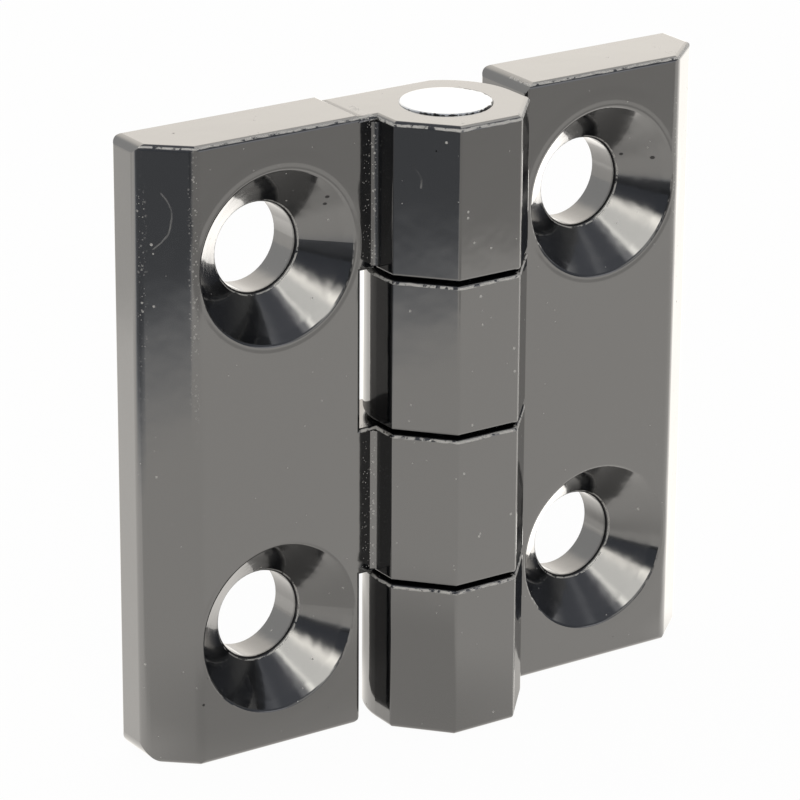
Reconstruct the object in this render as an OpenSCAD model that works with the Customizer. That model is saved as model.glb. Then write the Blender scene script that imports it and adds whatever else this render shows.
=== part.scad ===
// Surface hinge: two cast leaves on one steel pin, opened flat and standing on its lower edge.
// The origin lies on the pin's axis at the lower edge. The leaves spread along X, their mounting
// faces look along +Y and their front faces along -Y. Sizes are in millimetres.

/* [Leaf] */
// Height of the hinge along its pin
height = 59.7; // [54:0.1:90]
// Width of one leaf, from the pin's axis to its outer edge
leaf_w = 30.7; // [30:0.1:45]
// Thickness of a leaf, from its mounting face to its front face
leaf_t = 7.5; // [6.5:0.1:9]
// Clearance between a turning knuckle and the inner end of the other leaf's plate
swing_gap = 1.05; // [0.5:0.05:2]
// Half of the space that stays between the front faces when the hinge is closed
closed_gap = 0.1; // [0.1:0.05:0.6]
// Depth of the straight outer side, from the mounting face to the bevel
side_d = 3.9; // [2:0.1:4.5]
// Width of the bevel between the outer side and the front face
bevel_w = 4.1; // [2:0.1:4.2]
// Round on the left leaf's upper outer corner
left_top_r = 1.1; // [0.5:0.1:3]
// Round on the left leaf's lower outer corner
left_bottom_r = 2; // [0.5:0.1:3]
// Round on the right leaf's upper outer corner
right_top_r = 0.7; // [0.5:0.1:3]
// Round on the right leaf's lower outer corner
right_bottom_r = 1; // [0.5:0.1:3]
// Round on the inner corner away from the leaf's end knuckle
inner_corner_r = 1.2; // [0.5:0.1:3]
// Round on the plate's inner edge where the neck of the end knuckle leaves it
step_r = 0.5; // [0.3:0.05:0.8]
// Round where the outer side meets the bevel, and the bevel meets the front face
bevel_r = 1.6; // [0.3:0.1:2]
// Round along the upright edges of plates and knuckles
edge_r = 0.4; // [0.2:0.05:0.6]
// Round along the upper and lower edges of plates and of the outermost knuckles
end_r = 0.6; // [0.2:0.05:0.9]
// Round along the edges of the mounting face
back_r = 0.3; // [0.2:0.05:0.6]

/* [Knuckles] */
// Number of knuckles, half of them on each leaf
knuckles = 4; // [2:2:6]
// Radius of a knuckle's round back, which is also half of its width
knuckle_r = 7.5; // [6.8:0.1:7.8]
// Distance from the pin's axis to a knuckle's flat front
knuckle_front = 7.3; // [6.5:0.1:7.5]
// Width of a knuckle's flat front, between its two bevels
front_flat = 6.7; // [5.5:0.1:8]
// Distance from the pin's axis to the line where a knuckle's flat side meets its bevel
knuckle_side = 2.6; // [2:0.1:3.5]
// Distance that the knuckles' backs stay short of the mounting face
back_relief = 0.6; // [0.4:0.1:1]
// Gap between neighbouring knuckles
knuckle_gap = 0.4; // [0.2:0.05:1]
// Round along the edges of the gaps between knuckles
gap_r = 0.4; // [0.15:0.05:0.6]
// Height by which the outermost knuckles stay below the ends of the plates
knuckle_drop = 0.1; // [0.05:0.05:0.2]
// Fillet between a leaf's front face and the wall of its knuckle
root_r = 0.7; // [0.2:0.05:0.8]

/* [Pin] */
// Diameter of the pin
pin_d = 8.6; // [5:0.1:10]
// Radial clearance of the pin in the leaf that turns on it
pin_clear = 0.05; // [0.01:0.01:0.1]
// Height by which the pin's upper end stands out of its knuckle
pin_proud = 0.15; // [0:0.05:0.5]
// Depth by which the pin's lower end stays inside its knuckle
pin_short = 0.1; // [0:0.05:0.5]
// Chamfer on the pin's ends
pin_chamfer = 0.1; // [0.1:0.05:0.8]

/* [Screw holes] */
// Distance from a leaf's upper or lower edge to the centre of its nearest hole
hole_inset = 11.85; // [9:0.05:14]
// Diameter of the through hole
hole_d = 8.5; // [5:0.1:9]
// Diameter of the countersink at the front face
sink_d = 16.5; // [12:0.1:16.5]
// Full angle of the countersink's cone
sink_angle = 90; // [80:1:100]
// Distance of the holes beyond the middle of the flat front, away from the pin
hole_shift = 0.15; // [-0.5:0.05:0.2]
// Round on the rim of a countersink
rim_r = 0.5; // [0.2:0.05:0.8]
// Round where a countersink meets its through hole
throat_r = 0.3; // [0.1:0.05:0.6]

/* [Hidden] */
coat = [0.13, 0.13, 0.14];
steel = [0.82, 0.82, 0.8];

// Planes of the casting, seen from the pin's axis
front_y = closed_gap;
back_y = front_y + leaf_t;
knuckle_back = back_y - back_relief;
knuckle_pitch = height / knuckles;
// Radius that a knuckle's outermost corner sweeps
swing_r = max(norm([knuckle_r, knuckle_side]), norm([front_flat / 2, knuckle_front]));
// Inner end of a plate, and the holes near the middle of the flat front beside it
leaf_end = swing_r + swing_gap;
hole_x = (leaf_end + leaf_w - bevel_w) / 2 + hole_shift;
hole_pitch = height - 2 * hole_inset;
// Overlap of a knuckle's neck with the plate behind it
neck_root = 1.5;
// Depth by which the rounding bodies reach past the planes that they round
skin = 0.01;
// Length that is more than any part of the casting
span = 2 * (leaf_w + height);
// Segments of round shapes
$fn = 96;

// Directions from a corner towards its neighbours on an outline
function unit(v) = v / norm(v);
function towards_last(p, i) = unit(p[(i + len(p) - 1) % len(p)] - p[i]);
function towards_next(p, i) = unit(p[(i + 1) % len(p)] - p[i]);
function half_angle(p, i) = acos(towards_last(p, i) * towards_next(p, i)) / 2;

// Points where a round of radius r leaves the two sides of a corner, and its centre
function round_ends(p, i, r) = r == 0 ? [p[i]] : [
    p[i] + towards_last(p, i) * r / tan(half_angle(p, i)),
    p[i] + towards_next(p, i) * r / tan(half_angle(p, i))
];
function round_centre(p, i, r) =
    p[i] + unit(towards_last(p, i) + towards_next(p, i)) * r / sin(half_angle(p, i));

// Outline whose outward corners are rounded, each with its own radius
module outline(points, radii) {
    polygon([for (i = [0 : len(points) - 1]) each round_ends(points, i, radii[i])]);
    for (i = [0 : len(points) - 1]) {
        if (radii[i] > 0) {
            translate(round_centre(points, i, radii[i])) circle(r = radii[i]);
        }
    }
}

// Section from the axis, or from beyond it, to a flat side whose upper and lower edges are rounded
module rounded_side(start, reach, low, high, low_r, high_r) {
    side = reach + skin;
    bottom = low - skin;
    top = high + skin;
    outline([[start, bottom], [side, bottom], [side, top], [start, top]], [0, low_r, high_r, 0]);
}

// Bar with that section, looking in one direction. A body that is intersected with it keeps
// its own flat side and ends, and the edges between them come out rounded.
module slab(turn, reach, low, high, low_r = end_r, high_r = end_r) {
    rotate([0, 0, turn])
        rotate([90, 0, 0])
            linear_extrude(height = span, center = true)
                rounded_side(-span, reach, low, high, low_r, high_r);
}

// Plate of the leaf on the -X side, without holes, with its outer corner rounds
module plate(far_r, near_r) {
    bevel_d = leaf_t - side_d;
    bevel_turn = atan2(-bevel_w, -bevel_d);
    bevel_reach = [-leaf_w, back_y - side_d] * [cos(bevel_turn), sin(bevel_turn)];
    corners = [
        [-leaf_w, back_y],
        [-leaf_w, back_y - side_d],
        [-leaf_w + bevel_w, front_y],
        [-leaf_end, front_y],
        [-leaf_end, back_y]
    ];
    intersection() {
        linear_extrude(height = height) outline(corners, [edge_r, bevel_r, bevel_r, edge_r, edge_r]);
        slab(180, leaf_w, 0, height, far_r, near_r);
        slab(bevel_turn, bevel_reach, 0, height);
        slab(-90, -front_y, 0, height);
        slab(90, back_y, 0, height, back_r, back_r);
        slab(0, -leaf_end, 0, height, inner_corner_r, step_r);
    }
}

// Front of a knuckle: half an octagon with softened edges
module nose(low, high, high_r) {
    turn = atan2(knuckle_r - front_flat / 2, knuckle_front - knuckle_side);
    bevel_reach = [knuckle_r, knuckle_side] * [cos(turn), sin(turn)];
    corners = [
        [-knuckle_r, 0],
        [-knuckle_r, -knuckle_side],
        [-front_flat / 2, -knuckle_front],
        [front_flat / 2, -knuckle_front],
        [knuckle_r, -knuckle_side],
        [knuckle_r, 0]
    ];
    intersection() {
        translate([0, 0, low])
            linear_extrude(height = high - low) outline(corners, [0, edge_r, edge_r, edge_r, edge_r, 0]);
        slab(180, knuckle_r, low, high, gap_r, high_r);
        slab(turn - 180, bevel_reach, low, high, gap_r, high_r);
        slab(-90, knuckle_front, low, high, gap_r, high_r);
        slab(-turn, bevel_reach, low, high, gap_r, high_r);
        slab(0, knuckle_r, low, high, gap_r, high_r);
    }
}

// Round back of a knuckle, cut short of the mounting face
module barrel(low, high, high_r) {
    intersection() {
        translate([0, 0, low])
            linear_extrude(height = high - low)
                intersection() {
                    circle(r = knuckle_r);
                    translate([-knuckle_r, 0]) square([2 * knuckle_r, knuckle_back]);
                }
        rotate_extrude() rounded_side(0, knuckle_r, low, high, gap_r, high_r);
        slab(90, knuckle_back, low, high, gap_r, high_r);
    }
}

// Neck that carries a knuckle on its plate, with a fillet along the knuckle's wall
module neck(low, high, high_r) {
    intersection() {
        translate([-leaf_end - neck_root, front_y, low])
            cube([leaf_end + neck_root, knuckle_back - front_y, high - low]);
        slab(-90, -front_y, low, high, gap_r, high_r);
        slab(90, knuckle_back, low, high, gap_r, high_r);
    }
    translate([-knuckle_r, front_y, low + gap_r])
        linear_extrude(height = high - low - gap_r - high_r)
            difference() {
                translate([-root_r, -root_r]) square(2 * root_r);
                translate([skin - root_r, skin - root_r]) circle(r = root_r);
            }
}

// Section of a countersunk hole, from its axis out and from the front face into the leaf. It is
// what the leaf's own section leaves free, so that both of the leaf's corners come out rounded.
module sink_section() {
    sink_r = sink_d / 2;
    hole_r = hole_d / 2;
    cone_d = (sink_r - hole_r) / tan(sink_angle / 2);
    far_r = sink_r + 2 * rim_r;
    far_d = leaf_t + 2;
    leaf_corners = [[sink_r, -skin], [hole_r, cone_d], [hole_r, far_d], [far_r, far_d], [far_r, -skin]];
    difference() {
        translate([0, -1]) square([far_r, far_d]);
        outline(leaf_corners, [rim_r, throat_r, 0, 0, 0]);
    }
}

// Countersunk screw hole, cut from the front face at x and z
module screw_hole(x, z) {
    translate([x, front_y, z])
        rotate([-90, 0, 0])
            rotate_extrude() sink_section();
}

// One casting as it lies on the -X side, with its first knuckle at the top
module casting(bore_r, far_r, near_r) {
    difference() {
        union() {
            plate(far_r, near_r);
            for (i = [1 : 2 : knuckles - 1]) {
                last = i == knuckles - 1;
                low = i * knuckle_pitch + knuckle_gap / 2;
                high = (i + 1) * knuckle_pitch - (last ? knuckle_drop : knuckle_gap / 2);
                high_r = last ? end_r : gap_r;
                nose(low, high, high_r);
                barrel(low, high, high_r);
                neck(low, high, high_r);
            }
        }
        for (side = [-1, 1]) {
            screw_hole(-hole_x, height / 2 + side * hole_pitch / 2);
        }
        translate([0, 0, -1]) cylinder(r = bore_r, h = height + 2);
    }
}

// Leaf that holds the pin fast
module left_leaf() {
    color(coat) casting(pin_d / 2, left_bottom_r, left_top_r);
}

// The same casting turned half round and with crisper corners, running on the pin
module right_leaf() {
    color(coat)
        translate([0, 0, height])
            rotate([0, 180, 0]) casting(pin_d / 2 + pin_clear, right_top_r, right_bottom_r);
}

// Steel pin through all the knuckles
module hinge_pin() {
    low = knuckle_drop + pin_short;
    high = height - knuckle_drop + pin_proud;
    pin_r = pin_d / 2;
    color(steel)
        rotate_extrude()
            polygon([
                [0, low],
                [pin_r - pin_chamfer, low],
                [pin_r, low + pin_chamfer],
                [pin_r, high - pin_chamfer],
                [pin_r - pin_chamfer, high],
                [0, high]
            ]);
}

left_leaf();
right_leaf();
hinge_pin();
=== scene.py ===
# %% [markdown]
# # A painted block hinge
#
# The real object is a small surface hinge: two die-cast zinc leaves in a glossy black coat, joined by a
# steel pin. The solid shapes come from the CAD model, so this lesson is about three other things: putting
# the camera where the picture was taken from, lighting a black glossy thing so that its shape reads, and
# giving paint and steel the small faults that make them look handled.

# %% Load the frame
from math import cos, pi, radians, sin

import bpy
from mathutils import Matrix, Vector

MM = 0.001

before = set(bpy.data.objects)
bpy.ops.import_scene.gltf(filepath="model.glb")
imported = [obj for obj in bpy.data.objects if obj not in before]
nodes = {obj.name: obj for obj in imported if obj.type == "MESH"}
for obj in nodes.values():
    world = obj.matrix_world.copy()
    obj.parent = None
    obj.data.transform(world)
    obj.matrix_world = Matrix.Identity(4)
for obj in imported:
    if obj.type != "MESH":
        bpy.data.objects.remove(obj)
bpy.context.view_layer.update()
print("pieces:", sorted(nodes))

# %% [markdown]
# ## The camera
#
# A camera could be placed by eye, but then every edge has to be nudged. Here its angles, distance and lens
# were worked out from the corners of the hinge, so the numbers are simply written down. The camera looks at
# a point on the mounting face, half way up. A small lens shift puts that point where it sits in the picture,
# which keeps the upright edges as they are.

# %% Place the camera
TURN, TILT, ROLL = radians(33.9106), radians(20.3921), radians(0.3353)
CAMERA_DISTANCE = 416.3 * MM
AIM = Vector((0, 7.6, 29.85)) * MM

ahead = Vector((sin(TURN) * cos(TILT), cos(TURN) * cos(TILT), -sin(TILT)))
level = Vector((cos(TURN), -sin(TURN), 0))
upright = level.cross(ahead)
across = level * cos(ROLL) + upright * sin(ROLL)
upward = upright * cos(ROLL) - level * sin(ROLL)
facing = Matrix((across, upward, -ahead)).transposed().to_4x4()

camera = bpy.data.objects.new("camera", bpy.data.cameras.new("camera"))
bpy.context.scene.collection.objects.link(camera)
camera.matrix_world = Matrix.Translation(AIM - ahead * CAMERA_DISTANCE) @ facing
camera.data.sensor_width = 36
camera.data.lens = 198.4
camera.data.shift_x = 0.00277
camera.data.shift_y = -0.0191
camera.data.clip_start = 10 * MM
camera.data.clip_end = 20
bpy.context.scene.camera = camera
print("camera stands at, in mm:", [round(v / MM) for v in camera.location])

# %% [markdown]
# ## A short way to write shader maths
#
# A material is a graph of small nodes. Wiring them by hand is slow to read, so one small class holds a
# socket and turns `a * b + 0.2` into the matching nodes. Every other node comes from one method that takes
# the node's type, its settings and what goes into its sockets, and a few short methods name the nodes that
# are used most.


# %% Wires
class Wire:
    """One output socket, on which sums can be written."""

    def __init__(self, graph, socket):
        self.graph = graph
        self.socket = socket

    def maths(self, work, *others):
        """What that Math operation makes of this value and the others."""
        return self.graph.node("ShaderNodeMath", {"operation": work}, dict(enumerate((self, *others))))[0]

    def __add__(self, other):
        return self.maths("ADD", other)

    __radd__ = __add__

    def __mul__(self, other):
        return self.maths("MULTIPLY", other)

    __rmul__ = __mul__

    def __sub__(self, other):
        return self.maths("SUBTRACT", other)

    def __rsub__(self, other):
        return self.graph.node("ShaderNodeMath", {"operation": "SUBTRACT"}, {0: other, 1: self})[0]

    def __truediv__(self, other):
        return self.maths("DIVIDE", other)

    def __pow__(self, other):
        return self.maths("POWER", other)

    def over(self, edge):
        """1 above that edge, else 0."""
        return self.maths("GREATER_THAN", edge)

    def most(self, other):
        """The larger of the two."""
        return self.maths("MAXIMUM", other)

    def size(self):
        """The value without its sign."""
        return self.maths("ABSOLUTE")

    def rise(self, low, high):
        """0 below low, 1 above high, and a soft step between. low may be the larger, for a fall."""
        sockets = {"Value": self, "From Min": low, "From Max": high}
        return self.graph.node("ShaderNodeMapRange", {"interpolation_type": "SMOOTHSTEP"}, sockets)[0]


print("wires ready")


# %% Graphs
class Graph:
    """The nodes of one material or of the world."""

    def __init__(self, owner):
        owner.use_nodes = True
        self.tree = owner.node_tree
        self.tree.nodes.clear()

    def node(self, kind, settings=None, sockets=None):
        """A node with its settings and sockets set. Its outputs come back by number and by name."""
        made = self.tree.nodes.new(kind)
        for name, value in (settings or {}).items():
            setattr(made, name, value)
        for name, value in (sockets or {}).items():
            if isinstance(value, Wire):
                self.tree.links.new(value.socket, made.inputs[name])
            else:
                made.inputs[name].default_value = value
        return {key: Wire(self, s) for i, s in enumerate(made.outputs) for key in (i, s.name)}

    def vector(self, work, *sockets):
        """What that Vector Math operation makes of one or two vectors."""
        return self.node("ShaderNodeVectorMath", {"operation": work}, dict(enumerate(sockets)))[0]

    def scaled(self, vector, times):
        """The vector, that many times as long."""
        return self.node("ShaderNodeVectorMath", {"operation": "SCALE"}, {0: vector, "Scale": times})[0]

    def mix(self, share, low, high):
        """Low where share is 0 and high where it is 1. Colours are (r, g, b)."""
        sockets = {0: share}
        for i, colour in ((6, low), (7, high)):
            sockets[i] = colour if isinstance(colour, Wire) else (*colour, 1)
        return self.node("ShaderNodeMix", {"data_type": "RGBA"}, sockets)[2]

    def bump(self, height):
        """The normal of a relief whose height is in millimetres."""
        sockets = {"Strength": 1.0, "Distance": MM, "Height": height}
        return self.node("ShaderNodeBump", None, sockets)["Normal"]

    def principled(self, sockets):
        """The general surface shader. Sockets that aren't given keep the values that they come with."""
        return self.node("ShaderNodeBsdfPrincipled", None, sockets)["BSDF"]

    def two_shaders(self, share, first, second):
        """The first shader where share is 0 and the second where it is 1."""
        return self.node("ShaderNodeMixShader", None, {0: share, 1: first, 2: second})[0]

    def surface(self, shader):
        """Makes that shader the material's surface."""
        self.node("ShaderNodeOutputMaterial", None, {"Surface": shader})

    def straight_rays(self):
        """1 for what the camera sees, also through something clear, and 0 for all other light."""
        ray = self.node("ShaderNodeLightPath")
        return ray["Is Camera Ray"].most(ray["Is Transmission Ray"])


print("graphs ready")

# %% [markdown]
# ## Where things are on the casting
#
# The faults in a finish sit in places: along an edge, around a hole, in a corner. All three pieces share the
# frame of the CAD model, so a place is simply a sum of the coordinates X, Y and Z. These are the lines that
# the masks below are measured from, in millimetres. The height, the holes and the pin repeat the CAD model's
# own values, and the corners and edges lie on or near the middle of its rounded ones. Most faults belong to
# the front, so the last four say how far back, in Y, each kind may reach.

# %% Lines of the casting
HEIGHT = 59.7
PITCH = HEIGHT / 4  # from one knuckle to the next
HOLE_X = 17.991
HOLE_Z = (11.85, 47.85)
SINK_RADIUS = 8.25
HOLE_RADIUS = 4.25
CONE_WIDTH = SINK_RADIUS - HOLE_RADIUS
PIN_RADIUS = 4.3
FACET_X = 3.4  # a knuckle's upright edge, between its front and its right facet
NECK_X = 8.3  # the corner between a knuckle and its plate
PLATE_X = 9.05  # a plate's inner edge
BEVEL_X = 26.7  # where a plate's front meets its bevel
BEVEL_Y = 3.4  # where the bevel meets the outer side
EDGE_DEPTH = 3.6  # worn edges and painted edge highlights
FRONT_DEPTH = 4.2  # scratches, crumbs, pits and the swelling
THROAT_DEPTH = 4.4  # the painted shade line at the bottom of a countersink
LIP_DEPTH = 5.0  # the pale flecks beside it, partly wear and partly painted highlight
print("countersinks at", [(x, z) for x in (-HOLE_X, HOLE_X) for z in HOLE_Z])


# %% Places in millimetres
def distance(a, b):
    """How far off a point is that lies a one way and b square to it."""
    return (a * a + b * b) ** 0.5


class Place:
    """Where a point of the surface is, in millimetres, with the noise that belongs to that place."""

    def __init__(self, graph, shift=0.0):
        """shift moves the noise, so that two pieces don't get the same faults."""
        self.graph = graph
        point = graph.scaled(graph.node("ShaderNodeTexCoord")["Object"], 1 / MM)
        parts = graph.node("ShaderNodeSeparateXYZ", None, {"Vector": point})
        self.x, self.y, self.z = parts["X"], parts["Y"], parts["Z"]
        self.shifted = graph.vector("ADD", point, (shift, shift, shift))

    def before(self, depth):
        """1 in front of that depth, else 0."""
        return (depth - self.y).over(0)

    def grain(self, size, detail=2.0, stretch=(1, 1, 1)):
        """Noise of that grain size, 0 to 1 and mostly near a half."""
        point = self.graph.vector("MULTIPLY", self.shifted, tuple(1 / (size * k) for k in stretch))
        sockets = {"Vector": point, "Scale": 1.0, "Detail": detail}
        return self.graph.node("ShaderNodeTexNoise", None, sockets)["Fac"]

    def specks(self, spacing, biggest, share):
        """Round specks about spacing apart, in that share of the places. A few are as wide as biggest."""
        sockets = {"Vector": self.shifted, "Scale": 1 / spacing, "Randomness": 1.0}
        settings = {"feature": "F1", "voronoi_dimensions": "3D"}
        cell = self.graph.node("ShaderNodeTexVoronoi", settings, sockets)
        chance = self.graph.node("ShaderNodeSeparateColor", None, {"Color": cell["Color"]})
        there = (share - chance["Red"]).rise(0.0, 0.01)
        radius = (chance["Green"] ** 3 * 0.65 + 0.35) * (biggest / 2 / spacing)
        return (cell["Distance"] / radius).rise(1.0, 0.7) * there


print("places ready")

# %% [markdown]
# ## The black coat
#
# A gloss coat on a zinc casting is nearly black in itself: what the eye sees is the room in it. So the base
# colour stays close to black and the gloss does the work, as a clear hard layer over a very shiny black one.
# A perfectly even layer would look like plastic, so it gets a slight orange peel, slow waves, a soft swelling
# where the paint gathers around the countersinks, dust specks, pinholes, crumbs in the corners, pale flecks
# along the edges that are partly wear and partly painted highlights, and a few hair lines. Painted shade adds
# a thin dark line at the bottom of each countersink and one across the top where a plate meets its knuckles.
# Each is a mask, and short functions make them.
#
# Two things need help. Coat that is seen in other coat comes out brighter than on the real hinge, whose
# corners swallow light. So for rays that come from a mirroring surface, a share of the shine is swapped for a
# dull black, on the left leaf and in the countersinks. And the knuckles' right facets mirror as if they were
# slightly rounded, where the CAD model has them flat. So their normal is leaned a little, and the clear
# layer, which keeps its own normal, is left off there.


# %% Around the countersinks
def from_sink(place):
    """How far a point lies outside the edge of the nearest countersink, less than 0 inside it."""
    across = place.x.size() - HOLE_X
    along = (place.z - sum(HOLE_Z) / 2).size() - (HOLE_Z[1] - HOLE_Z[0]) / 2
    return distance(across, along) - SINK_RADIUS


def from_throat(rim, outside):
    """How far a point lies from a circle that far outside the hole, given its from_sink."""
    return rim + (CONE_WIDTH - outside)


print("a countersink's cone is", CONE_WIDTH, "mm wide")

# %% Scratches and pits
WANDER = 0.25


def strongest(masks):
    """The strongest of the masks at each point."""
    total, *others = masks
    for mask in others:
        total = total.most(mask)
    return total


def hair_lines(place, wander, lines):
    """Thin curved scratches. Each is on the right half of a circle in X and Z, between two heights."""
    masks = []
    for x, z, radius, low, high in lines:
        off = (distance(place.x - x, place.z - z) - radius + wander * 0.7).size()
        span = place.z.over(low) * (high - place.z).over(0) * (place.x - x).over(0)
        masks.append(off.rise(0.08, 0.04) * span * (wander + WANDER).rise(0.1, 0.3))
    return strongest(masks)


def pits(place, points):
    """Single dark pits in the casting, each at its X and Z with its radius."""
    return strongest(distance(place.x - x, place.z - z).rise(r, r * 0.6) for x, z, r in points)


print("the noise that bends the lines runs from", -WANDER, "to", WANDER)


# %% Worn edges and painted highlights
def worn_and_highlit_edges(place, wander, rim):
    """Pale flecks on the upper front edges, the knuckles' right corner and the lips: partly wear where the
    coat is thinnest, partly painted highlights of these rounded edges.
    """
    on_knuckle = place.x.size().rise(7.9, 7.4)
    top = (place.z - (HEIGHT - 0.19) + on_knuckle * 0.27 + wander * 0.4).size().rise(0.12, 0.03)
    up_knuckle = (place.z / PITCH).maths("FRACT") * PITCH
    knuckle_top = (up_knuckle - (PITCH - 0.42) + wander * 0.4).size().rise(0.16, 0.06)
    broken = place.grain(0.45, 3.0, (1.6, 1, 1)).rise(0.36, 0.48) * (wander + WANDER).rise(0.02, 0.2)
    upper_wear_and_highlight = top.most(knuckle_top * place.x.size().rise(9.2, 9.0)) * broken
    # Painted highlight, partly wear: a pale line down each knuckle's upright edge between its front and right
    # facets.
    corner = (place.x - FACET_X).size().rise(0.19, 0.08) * (place.y * -1).over(6.6) * 0.7
    lip_wear_and_highlight = (from_throat(rim, 0.22) + wander * 0.2).size().rise(0.08, 0.03) * broken * 0.8
    return (upper_wear_and_highlight.most(corner) * place.before(EDGE_DEPTH)).most(lip_wear_and_highlight * place.before(LIP_DEPTH))


print("edges wear where Y is below", EDGE_DEPTH)


# %% Crumbs
def crumbs(place, cloud):
    """Rough crumbs of paint in the corner between a plate and its knuckles, and some along the bevel."""
    corner = (place.x.size() - NECK_X).size().rise(0.78, 0.45) * (place.y - 0.3).size().rise(1.4, 1.1)
    inner_edge = (place.x.size() - BEVEL_X).size().rise(0.6, 0.1)
    outer_edge = (place.y - BEVEL_Y).size().rise(0.5, 0.1) * place.x.size().rise(29.5, 30)
    on_bevel = inner_edge.most(outer_edge) * cloud.rise(0.36, 0.54) * place.z.rise(28, 48) * 0.8
    return place.specks(0.28, 0.3, 0.85) * corner.most(on_bevel)


print("crumbs gather at", NECK_X, "mm from the pin's axis")


# %% Pale faults and painted highlights
def pale_faults_and_highlights(place, wander, cloud, rim, lines):
    """How much of the pale dust, scratches, crumbs, worn flecks and painted edge highlights there is at a
    point.
    """
    dust = place.specks(0.9, 0.34, 0.17 + cloud.rise(0.4, 0.7) * 0.2)
    drawn = (hair_lines(place, wander, lines) * 0.25).most(crumbs(place, cloud) * 0.8)
    in_front = drawn * place.before(FRONT_DEPTH)
    return (dust * 0.8).most(in_front).most(worn_and_highlit_edges(place, wander, rim))


print("scratches and crumbs lie where Y is below", FRONT_DEPTH)

# %% Relief
PEEL, WAVES, SWELLING, RIPPLES = 0.004, 0.09, 0.03, 0.06
LEAN = (-0.094, -0.107, 0)  # about 8 degrees, towards the left and the front


def relief(place, wander, cloud, rim, sunk):
    """The coat's height in millimetres."""
    ring = rim.rise(0.2, 0.7) * rim.rise(2.2, 0.9) * place.before(FRONT_DEPTH)
    return place.grain(0.9, 0.0) * PEEL + cloud * WAVES + ring * SWELLING + wander * sunk * RIPPLES


def right_facets(place):
    """1 on the facets of the knuckles that face right and forward."""
    below_top = place.z.rise(HEIGHT - 0.3, HEIGHT - 0.4)
    return place.x.rise(3.6, 3.8) * place.y.rise(-2.8, -3.0) * below_top


def leaned(normal, facet):
    """The normal, pushed by LEAN on the right facets. LEAN turns with the leaf."""
    graph = normal.graph
    settings = {"vector_type": "VECTOR", "convert_from": "OBJECT", "convert_to": "WORLD"}
    lean = graph.node("ShaderNodeVectorTransform", settings, {"Vector": LEAN})[0]
    return graph.vector("NORMALIZE", graph.vector("ADD", normal, graph.scaled(lean, facet)))


print("swelling around a countersink, in mm:", SWELLING)

# %% Dark faults and painted shade
SUNK_LOSS = 0.3


def dull_share(place, rim, sunk, echo_loss, points):
    """How dull a point is: in pinholes and pits, in painted shade as a thin dark line at each countersink's
    throat and across the top where a plate meets its knuckles, and wherever gloss mirrors the coat.
    """
    pinholes = place.specks(2.6, 0.34, 0.2).most(pits(place, points) * place.before(FRONT_DEPTH))
    # Painted shade: a thin dark line at each countersink's throat, and another across the top where a plate
    # meets its knuckles.
    throat_shade = from_throat(rim, 0.07).size().rise(0.1, 0.04) * place.before(THROAT_DEPTH)
    step_shade = (place.x.size() - PLATE_X).size().rise(0.4, 0.05) * place.z.over(HEIGHT - 0.15)
    mirrored = place.graph.node("ShaderNodeLightPath")["Is Glossy Ray"]
    echo = mirrored * (echo_loss + sunk * (SUNK_LOSS - echo_loss))
    return echo.most(pinholes * 0.8).most(throat_shade * 0.8).most(step_shade * 0.3)


print("shine lost inside a mirrored countersink:", SUNK_LOSS)

# %% Coat
GLOSS_BLACK = (0.0045, 0.005, 0.0062)
DULL_BLACK = (0.006, 0.0065, 0.008, 1)
# Pale paint for dust, crumbs and scratches, also used for painted edge highlights.
PALE_FLECK_AND_HIGHLIGHT = (0.5, 0.49, 0.47)


def black_coat(name, shift, echo_loss, lines, points):
    """The finish of one leaf. echo_loss is the share of its shine that is lost where gloss mirrors it."""
    made = bpy.data.materials.new(name)
    graph = Graph(made)
    place = Place(graph, shift)
    wander = place.grain(1.6, 1.0) * (2 * WANDER) - WANDER
    cloud = place.grain(9.0)
    rim = from_sink(place)
    sunk = rim.rise(-0.6, -0.9)
    facet = right_facets(place)
    light = pale_faults_and_highlights(place, wander, cloud, rim, lines)
    shine = graph.principled(
        {
            "Base Color": graph.mix(light, GLOSS_BLACK, PALE_FLECK_AND_HIGHLIGHT),
            "Roughness": (0.05 + cloud * 0.07 + sunk * 0.08).most(light * 0.7),
            "IOR": 2.2,
            "Coat Weight": (1 - light) * (1 - facet),
            "Coat Roughness": 0.05,
            "Coat IOR": 1.5,
            "Normal": leaned(graph.bump(relief(place, wander, cloud, rim, sunk)), facet),
        }
    )
    dull = graph.principled({"Base Color": DULL_BLACK, "Roughness": 0.45, "IOR": 1.3})
    dulled = dull_share(place, rim, sunk, echo_loss, points)
    graph.surface(graph.two_shaders(dulled, shine, dull))
    return made


print("coat ready")

# %% Coat both leaves
# A scratch is the X, Z and radius of its circle and the two heights. A pit is its X, Z and radius.
LEFT_SCRATCHES = [(-32.5, 53.1, 4.3, 50.1, 55.4), (-9.22, 53.6, 3.5, 53.6, 55.3)]
RIGHT_SCRATCHES = [(27.0, 33.0, 5.0, 30.0, 32.5)]
LEFT_PITS = [(-12.23, 52.45, 0.2), (-12.2, 51.66, 0.18), (-26.3, 6.1, 0.16)]
RIGHT_PITS = [(24.7, 49.75, 0.22), (22.5, 49.95, 0.18)]

left_coat = black_coat("black_coat_left", 0.0, 0.75, LEFT_SCRATCHES, LEFT_PITS)
right_coat = black_coat("black_coat_right", 37.0, 0.0, RIGHT_SCRATCHES, RIGHT_PITS)
nodes["left_leaf"].material_slots[0].material = left_coat
nodes["right_leaf"].material_slots[0].material = right_coat
print("nodes in each coat:", len(left_coat.node_tree.nodes), len(right_coat.node_tree.nodes))

# %% [markdown]
# ## The pin
#
# The pin was pressed in before painting, and its end was rubbed bare again. So the end is bright, finely
# brushed steel with a ragged rim of black left where the rubbing stopped.

# %% Steel
PALE_STEEL = (0.72, 0.75, 0.79)
RIM_BLACK = (0.006, 0.006, 0.007)


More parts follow.
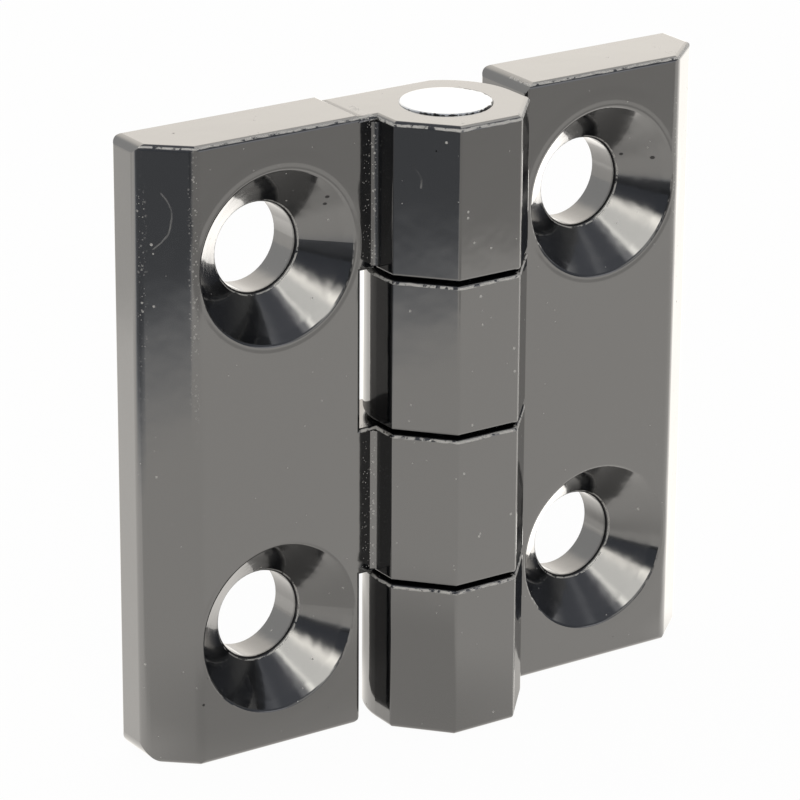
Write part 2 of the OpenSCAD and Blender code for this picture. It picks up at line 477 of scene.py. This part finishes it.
def bare_steel():
    """Brushed steel, with black paint outside a ragged circle."""
    made = bpy.data.materials.new("bare_steel")
    graph = Graph(made)
    place = Place(graph, shift=5.0)
    ragged = distance(place.x, place.y) + place.grain(0.5, 3.0) * 0.5 + place.grain(2.5) * 0.5
    paint = (ragged + place.x.rise(0, 4) * 0.16).rise(PIN_RADIUS + 0.48, PIN_RADIUS + 0.54)
    brushed = place.grain(0.35, 2.0, (1, 8, 1))
    shine = graph.principled(
        {
            "Base Color": graph.mix(paint, PALE_STEEL, RIM_BLACK),
            "Metallic": 1 - paint,
            "Roughness": 0.24 + brushed * 0.12,
            "Normal": graph.bump(brushed * 0.004 + paint * 0.03),
        }
    )
    graph.surface(shine)
    return made


nodes["hinge_pin"].material_slots[0].material = bare_steel()
print("pin:", nodes["hinge_pin"].material_slots[0].material.name)

# %% [markdown]
# ## The floor
#
# The hinge stands on a white sheet. To the camera the sheet has no end. In the coat it does: there the floor
# glows with painted light and shade, white close by, dimmer and cooler beyond a line to the left, dimmer
# beyond a line to the front and dimmer still far out in front, with a painted shadow at the hinge's own foot
# and another just behind it, and painted pools of light to its right and to its left. A small share of the
# floor's look is plain lit paper, so the hinge keeps a soft shadow.

# %% Floor
WARM, COOL = (1.06, 1.022, 0.966), (0.966, 1.004, 1.07)
GLOWING = 0.97  # the share of the floor that glows, and so takes no shadow


def paper():
    """White paper for the camera, and paper with painted light and shade at many levels for what the gloss
    mirrors.
    """
    made = bpy.data.materials.new("paper")
    graph = Graph(made)
    place = Place(graph)
    leftward, forward = place.x * -1, place.y * -1
    beyond_left = leftward.rise(88, 146) * place.y.rise(60, 20)
    beyond_front = forward.rise(117, 130)
    # Painted fall-off of light: the floor gets dimmer far out in front.
    painted_fall_off_front = forward.rise(150, 420)
    # Painted shadows of the hinge on the floor as the gloss sees it: one at its foot and one just behind it.
    painted_foot_shadow = distance((place.x + 17) / 36, (place.y + 12) / 19).rise(1, 0.3)
    painted_shadow_behind = distance((place.x - 2) / 17, (place.y - 21) / 15).rise(1, 0.4)
    # Painted pools of light on the floor, to the hinge's right and to its left.
    painted_light_right = (place.y / place.x.most(20)).rise(-0.2, 0.0) * place.x.rise(24, 34)
    painted_light_left = leftward.rise(28, 34) * place.y.rise(-5, 5) * place.y.rise(125, 95)
    level = 1 - beyond_left * 0.79
    for mask, loss in ((beyond_front, 0.36), (painted_fall_off_front, 0.5), (painted_foot_shadow, 0.25), (painted_shadow_behind, 0.35)):
        level = level * (1 - mask * loss)
    level = level * (1 + painted_light_right * 0.55 + painted_light_left * 0.28)
    mirrored = graph.scaled(graph.mix(beyond_left, WARM, COOL), level)
    straight = graph.straight_rays()
    shown = graph.mix(straight, mirrored, (1, 1, 1))
    glow = graph.node("ShaderNodeEmission", None, {"Color": shown, "Strength": 1.0})["Emission"]
    lit = graph.node("ShaderNodeBsdfDiffuse", None, {"Color": (0.9, 0.89, 0.88, 1)})["BSDF"]
    direct = straight.most(graph.node("ShaderNodeLightPath")["Is Glossy Ray"])
    graph.surface(graph.two_shaders(direct * GLOWING, lit, glow))
    return made


print("paper ready")

# %% Lay the floor
REACH = 6.0

floor_mesh = bpy.data.meshes.new("floor")
corners = [(x, y, 0) for x, y in ((-REACH, -REACH), (REACH, -REACH), (REACH, REACH), (-REACH, REACH))]
floor_mesh.from_pydata(corners, [], [(0, 1, 2, 3)])
floor_mesh.materials.append(paper())
floor = bpy.data.objects.new("floor", floor_mesh)
bpy.context.scene.collection.objects.link(floor)
floor.location.z = -0.02 * MM
print("floor laid, side in metres:", 2 * REACH)

# %% [markdown]
# ## The light
#
# Gloss black can't be lit, only given something to mirror. The room is drawn straight into the world as
# soft patches, each a span of compass bearing and height, where bearing 0 is straight behind the hinge and 90
# is to its right. A window high at the front left makes the bright streak in every countersink, and its two
# bright edges make the streak's ridges. A pale backdrop brightens the upper faces, and the rest stays dim.
# The camera sees plain white.

# %% Patches of the room
# Each has its middle bearing, half its width, its lowest and highest height and half the width of its soft
# border, all in degrees, and its colour.
PATCHES = [
    (180, 22, 4, 34, 8, (0.9, 0.89, 0.86)),
    (0, 92, -30, 50, 10, (0.85, 0.84, 0.82)),
    (30, 36, 4, 50, 12, (1.51, 1.43, 1.32)),
    (85, 34, 52, 84, 6, (1.5, 1.46, 1.4)),
    (124, 8, 44, 54, 6, (0.4, 0.41, 0.44)),
    (147, 9, 2, 24, 5, (0.8, 0.8, 0.84)),
    (-152, 17, 24, 60, 7, (2.7, 2.65, 2.5)),
    (-137, 3, 20, 44, 4, (5.0, 4.8, 4.4)),
    (-170, 6, 48, 66, 4, (4.4, 4.3, 4.0)),
    (180, 8, 52, 66, 6, (0.8, 0.8, 0.82)),
]
LOW_ROOM, HIGH_ROOM = (0.14, 0.15, 0.17), (0.25, 0.26, 0.29)
print("patches in the room:", len(PATCHES))


# %% Studio
def patch(bearing, height, middle, half, low, high, soft):
    """1 in that span of bearing and height, in degrees, with a soft border."""
    turn = ((bearing - middle + 540).maths("MODULO", 360) - 180).size()
    side = turn.rise(half + soft, half - soft)
    return side * height.rise(low - soft, low + soft) * height.rise(high + soft, high - soft)


def studio():
    """The room in the world's background, plain white to the camera."""
    world = bpy.data.worlds.new("studio")
    bpy.context.scene.world = world
    graph = Graph(world)
    way = graph.node("ShaderNodeSeparateXYZ", None, {"Vector": graph.node("ShaderNodeTexCoord")["Generated"]})
    height = way["Z"].maths("ARCSINE") * (180 / pi)
    bearing = way["X"].maths("ARCTAN2", way["Y"]) * (180 / pi)
    colour = graph.mix(height.rise(-5, 60), LOW_ROOM, HIGH_ROOM)
    for *span, tint in PATCHES:
        colour = graph.mix(patch(bearing, height, *span), colour, tint)
    seen = graph.mix(graph.straight_rays(), colour, (1, 1, 1))
    room = graph.node("ShaderNodeBackground", None, {"Color": seen, "Strength": 1.0})["Background"]
    graph.node("ShaderNodeOutputWorld", None, {"Surface": room})
    return world


room_world = studio()
print("world:", room_world.name)

# %% View transform
bpy.context.scene.view_settings.view_transform = "Standard"
